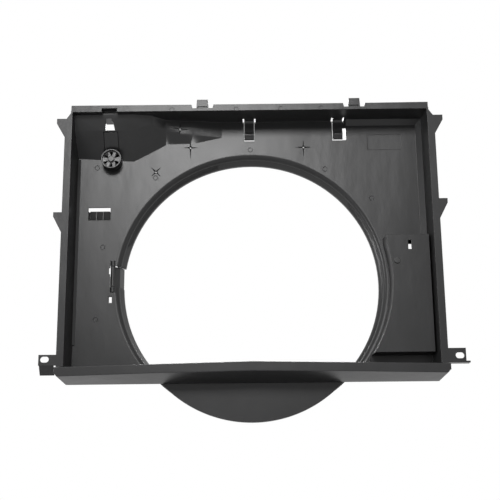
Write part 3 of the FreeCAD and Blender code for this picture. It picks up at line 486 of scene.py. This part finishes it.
def makeStarTree():
    tree, source, target = newTree("starTree", (
        ("Arms", "Int"), ("Length", "Float"), ("Width", "Float"), ("Height", "Float"), ("Turn", "Float"),
        ("Finish", "Material")))
    link = tree.links.new
    cone = tree.nodes.new("GeometryNodeMeshCone")
    cone.inputs["Vertices"].default_value = starRoot["sides"]
    cone.inputs["Radius Top"].default_value = starRoot["tip"]
    link(mathNode(tree, "MULTIPLY", source.outputs["Width"], 0.5), cone.inputs["Radius Bottom"])
    link(source.outputs["Length"], cone.inputs["Depth"])
    lay = tree.nodes.new("GeometryNodeTransform")
    lay.inputs["Rotation"].default_value = (0, math.radians(90), 0)
    link(cone.outputs["Mesh"], lay.inputs["Geometry"])
    flat = tree.nodes.new("GeometryNodeTransform")
    size = tree.nodes.new("ShaderNodeCombineXYZ")
    size.inputs["X"].default_value = 1
    size.inputs["Y"].default_value = 1
    link(mathNode(tree, "DIVIDE", source.outputs["Height"], source.outputs["Width"]), size.inputs["Z"])
    link(size.outputs[0], flat.inputs["Scale"])
    link(lay.outputs["Geometry"], flat.inputs["Geometry"])
    hub = tree.nodes.new("GeometryNodeMeshCircle")
    link(source.outputs["Arms"], hub.inputs["Vertices"])
    hub.inputs["Radius"].default_value = starRoot["hub"]
    place = tree.nodes.new("GeometryNodeInputPosition")
    aim = tree.nodes.new("FunctionNodeAlignRotationToVector")
    aim.axis = "X"
    link(place.outputs[0], aim.inputs["Vector"])
    arms = tree.nodes.new("GeometryNodeInstanceOnPoints")
    spin = tree.nodes.new("GeometryNodeTransform")
    turned = tree.nodes.new("ShaderNodeCombineXYZ")
    link(source.outputs["Turn"], turned.inputs["Z"])
    link(turned.outputs[0], spin.inputs["Rotation"])
    link(hub.outputs["Mesh"], spin.inputs["Geometry"])
    link(spin.outputs["Geometry"], arms.inputs["Points"])
    link(flat.outputs["Geometry"], arms.inputs["Instance"])
    link(aim.outputs["Rotation"], arms.inputs["Rotation"])
    finishTree(tree, source, target, instanceOnFacing(tree, source, arms.outputs["Instances"]))
    return tree


def makeRibTree():
    tree, source, target = newTree("ribTree", (
        ("Long", "Float"), ("Thick", "Float"), ("Height", "Float"), ("Finish", "Material")))
    link = tree.links.new
    bar = tree.nodes.new("GeometryNodeMeshCube")
    size = tree.nodes.new("ShaderNodeCombineXYZ")
    link(source.outputs["Long"], size.inputs["X"])
    link(source.outputs["Height"], size.inputs["Y"])
    link(source.outputs["Thick"], size.inputs["Z"])
    link(size.outputs[0], bar.inputs["Size"])
    outward = tree.nodes.new("GeometryNodeInputNamedAttribute")
    outward.data_type = "FLOAT_VECTOR"
    outward.inputs["Name"].default_value = "facing"
    aim = tree.nodes.new("FunctionNodeAlignRotationToVector")
    aim.axis = "X"
    place = tree.nodes.new("GeometryNodeInstanceOnPoints")
    link(outward.outputs["Attribute"], aim.inputs["Vector"])
    link(source.outputs["Geometry"], place.inputs["Points"])
    link(bar.outputs["Mesh"], place.inputs["Instance"])
    link(aim.outputs["Rotation"], place.inputs["Rotation"])
    finishTree(tree, source, target, place.outputs["Instances"])
    return tree


def growOn(tree, spots, values, materialName):
    mesh = bpy.data.meshes.new("spots")
    mesh.from_pydata([spot[0] for spot in spots], [], [])
    facing = mesh.attributes.new("facing", "FLOAT_VECTOR", "POINT")
    for entry, spot in zip(facing.data, spots):
        entry.vector = spot[1]
    thing = bpy.data.objects.new("spots", mesh)
    bpy.context.collection.objects.link(thing)
    grow = thing.modifiers.new("grow", "NODES")
    grow.node_group = tree
    socketOf = readInputs(tree)
    for label, value in values.items():
        grow[socketOf[label]] = value
    grow[socketOf["Finish"]] = materials[materialName]
    made = evaluatedMesh(thing)
    bpy.data.objects.remove(thing)
    return made


def joinMeshes(name, meshes):
    work = bmesh.new()
    for mesh in meshes:
        work.from_mesh(mesh)
    joined = bpy.data.meshes.new(name)
    work.to_mesh(joined)
    work.free()
    smoothByAngle(joined)
    return joined


studTree = makeStudTree()
starTree = makeStarTree()
ribTree = makeRibTree()

fanAxis = -0.0055
ringScrews = {
    "circle": 0.229,
    "angles": (20, 62, 118, 152, 200, 332),
    "seat": 0.059,
    "washer": {"Sides": 28, "Radius": 0.0044, "Height": 0.0006, "Rim": 0.9, "Recess": 0.0},
    "head": {"Sides": 6, "Radius": 0.0036, "Height": 0.0022, "Rim": 0.62, "Recess": 0.0009},
    "shank": {"Sides": 12, "Radius": 0.0018, "Height": 0.0074, "Rim": 0.8, "Recess": 0.0},
}
scoopScrews = {"along": (-0.096, -0.032, 0.032, 0.096), "depth": 0.041, "seat": -0.1511}


def makeScrews(name, seats, facing, replaced):
    way = Vector(facing)
    heads = [(seat, way) for seat in seats]
    tails = [(seat, -way) for seat in seats]
    meshes = [growOn(studTree, heads, ringScrews["washer"], "zincSteel"),
              growOn(studTree, heads, ringScrews["head"], "zincSteel"),
              growOn(studTree, tails, ringScrews["shank"], "zincSteel")]
    return addPiece(name, joinMeshes(name, meshes), "root", "zincSteel", replaced)


def onCircle(radius, degrees, depth):
    turn = math.radians(degrees)
    return Vector((radius * math.cos(turn), depth, fanAxis + radius * math.sin(turn)))


makeScrews("ringScrewHeads", [onCircle(ringScrews["circle"], angle, ringScrews["seat"])
                              for angle in ringScrews["angles"]], (0, 1, 0), "ring_screws")
makeScrews("scoopScrewHeads", [Vector((x, scoopScrews["depth"], scoopScrews["seat"]))
                               for x in scoopScrews["along"]], (0, 0, -1), "scoop_screws")
print("screws made")

housingFaces = BVHTree.FromPolygons([v.co for v in pieces["shroud_housing"].data.vertices],
                                    [p.vertices for p in pieces["shroud_housing"].data.polygons])


rayStart = -0.2


def onFront(x, z):
    # where the housing's radiator side is met at x, z, and the way it faces there
    hit, normal, _, _ = housingFaces.ray_cast(Vector((x, rayStart, z)), Vector((0, 1, 0)))
    return hit, (normal if normal.y < 0 else -normal)


# marks of the mould: raised ejector rounds, and four-armed flow stars cut in at its gates
mouldMarks = {
    "plate": ((0.0005, 0.216), (0.193, 0.132), (-0.152, 0.170), (-0.246, 0.188), (-0.234, 0.056),
              (0.120, 0.182), (0.236, -0.020), (-0.242, -0.060)),
    "round": {"Sides": 28, "Radius": 0.0042, "Height": 0.0003, "Rim": 0.84, "Recess": 0.0002},
}


def makeMouldMarks(setup):
    rounds = [onFront(x, z) for x, z in setup["plate"]]
    mesh = joinMeshes("mouldMarks", [growOn(studTree, rounds, setup["round"], "shroudPlastic")])
    return addPiece("mouldMarks", mesh, "root", "shroudPlastic")


makeMouldMarks(mouldMarks)

gateStars = {
    "high": {"place": (-0.1128, 0.2505), "arm": 0.0140, "turn": 0, "hole": 0.0020},
    "mid": {"place": (-0.0963, 0.2208), "arm": 0.0115, "turn": 0, "hole": 0.0011},
    "low": {"place": (-0.1517, 0.1799), "arm": 0.0095, "turn": 45, "hole": 0.0011},
    "right": {"place": (0.0864, 0.2196), "arm": 0.0115, "turn": 0, "hole": 0.0011},
}
boreShape = {"Sides": 16, "Height": 0.04, "Rim": 0.8, "Recess": 0.0}
boreStart = 0.002
armShape = {"Arms": 4, "Width": 0.0022, "Height": 0.0040}
flangeRounds = {
    "places": ((-0.1227, 0.2665), (-0.0209, 0.2665), (0.0497, 0.2665), (0.113, 0.2665)),
    "depth": 0.0004,
    "shape": {"Sides": 28, "Radius": 0.0034, "Height": 0.0015, "Rim": 0.8, "Recess": 0.0},
}


def cutStars(thing, stars, rounds):
    cutters = []
    for star in stars.values():
        hit, normal = onFront(*star["place"])
        arms = dict(armShape, Length=star["arm"], Turn=math.radians(star["turn"]))
        cutters.append(growOn(starTree, [(hit, normal)], arms, "shroudPlastic"))
        bore = dict(boreShape, Radius=star["hole"])
        cutters.append(growOn(studTree, [(hit + normal * boreStart, -normal)], bore, "shroudPlastic"))
    shallow = [(Vector((x, rounds["depth"], z)), Vector((0, -1, 0))) for x, z in rounds["places"]]
    cutters.append(growOn(studTree, shallow, rounds["shape"], "shroudPlastic"))
    for index, mesh in enumerate(cutters):
        cutter = bpy.data.objects.new("cutter" + str(index), mesh)
        bpy.context.collection.objects.link(cutter)
        cut = thing.modifiers.new("cut", "BOOLEAN")
        cut.operation = "DIFFERENCE"
        cut.solver = "EXACT"
        cut.object = cutter
        freezeModifiers(thing)
        bpy.data.objects.remove(cutter)
    mesh = thing.data
    if "custom_normal" in mesh.attributes:
        mesh.attributes.remove(mesh.attributes["custom_normal"])
    weightNormals(thing)
    thing.data.materials.clear()
    thing.data.materials.append(materials["shroudPlastic"])


facesBefore = len(pieces["shroud_housing"].data.polygons)
cutStars(pieces["shroud_housing"], gateStars, flangeRounds)
print("stars cut:", facesBefore, "->", len(pieces["shroud_housing"].data.polygons), "faces")

# ribs on the engine side, from the ring's foot out towards the corners
backRibs = {
    "angles": (30, 36, 43, 50, 141, 147, 204, 211, -24, -31),
    "inner": 0.238,
    "face": 0.0525,
    "sunk": 0.0004,
    "size": {"Long": 0.046, "Thick": 0.0016, "Height": 0.0042},
}


def makeBackRibs(setup):
    spots = []
    for angle in setup["angles"]:
        middle = onCircle(setup["inner"] + setup["size"]["Long"] / 2, angle,
                          setup["face"] + setup["size"]["Height"] / 2 - setup["sunk"])
        spots.append((middle, onCircle(1, angle, 0) - Vector((0, 0, fanAxis))))
    mesh = joinMeshes("backRibs", [growOn(ribTree, spots, setup["size"], "shroudPlastic")])
    return addPiece("backRibs", mesh, "root", "shroudPlastic")


makeBackRibs(backRibs)

# inside the cable window's hood: a sloped liner with two ribs; and a seal beside the flap's barrel
windowLiner = {
    "left": -0.2565, "right": -0.2245, "low": 0.1005, "high": 0.1168, "back": 0.062, "front": 0.0572,
    "ribs": (-0.2465, -0.2355),
    "ribSize": {"Long": 0.0018, "Height": 0.0052, "Thick": 0.0156},
}
flapSeal = {"middle": (-0.2224, 0.0544, -0.002), "size": {"Long": 0.0023, "Height": 0.004, "Thick": 0.0216}}


def makeWindowLiner(setup):
    section = ((setup["back"], setup["low"]), (setup["front"], setup["high"]), (setup["back"], setup["high"]))
    corners = [(x, y, z) for x in (setup["left"], setup["right"]) for y, z in section]
    wedge = bpy.data.meshes.new("wedge")
    wedge.from_pydata(corners, [], [(0, 2, 1), (3, 4, 5), (0, 1, 4, 3), (1, 2, 5, 4), (2, 0, 3, 5)])
    work = bmesh.new()
    work.from_mesh(wedge)
    bmesh.ops.recalc_face_normals(work, faces=work.faces)
    work.to_mesh(wedge)
    work.free()
    middle = (setup["low"] + setup["high"]) / 2
    depth = setup["back"] - setup["ribSize"]["Height"] / 2
    spots = [(Vector((x, depth, middle)), Vector((1, 0, 0))) for x in setup["ribs"]]
    mesh = joinMeshes("windowLiner", [wedge, growOn(ribTree, spots, setup["ribSize"], "shroudPlastic")])
    return addPiece("windowLiner", mesh, "root", "shroudPlastic")


def makeFlapSeal(setup):
    spots = [(Vector(setup["middle"]), Vector((1, 0, 0)))]
    mesh = joinMeshes("flapSeal", [growOn(ribTree, spots, setup["size"], "shroudPlastic")])
    return addPiece("flapSeal", mesh, "root", "shroudPlastic")


makeWindowLiner(windowLiner)
makeFlapSeal(flapSeal)
print("marks and ribs made")


floorSetup = {"side": 6, "level": -0.62, "tone": (0.8, 0.8, 0.8, 1), "rough": 0.8}


def makeFloor(setup):
    side, level = setup["side"], setup["level"]
    mesh = bpy.data.meshes.new("floor")
    corners = [(-side, -side, level), (side, -side, level), (side, side, level), (-side, side, level)]
    mesh.from_pydata(corners, [], [(0, 1, 2, 3)])
    floor = bpy.data.objects.new("floor", mesh)
    bpy.context.collection.objects.link(floor)
    material = bpy.data.materials.new("paleFloor")
    material.use_nodes = True
    tree = material.node_tree
    shader = tree.nodes["Principled BSDF"]
    shader.inputs["Base Color"].default_value = setup["tone"]
    shader.inputs["Roughness"].default_value = setup["rough"]
    path = tree.nodes.new("ShaderNodeLightPath")  # gloss on the part sees a white floor, as it sees the world
    white = tree.nodes.new("ShaderNodeEmission")
    mix = tree.nodes.new("ShaderNodeMixShader")
    tree.links.new(path.outputs["Is Glossy Ray"], mix.inputs["Fac"])
    tree.links.new(shader.outputs[0], mix.inputs[1])
    tree.links.new(white.outputs[0], mix.inputs[2])
    tree.links.new(mix.outputs[0], tree.nodes["Material Output"].inputs["Surface"])
    mesh.materials.append(material)


makeFloor(floorSetup)
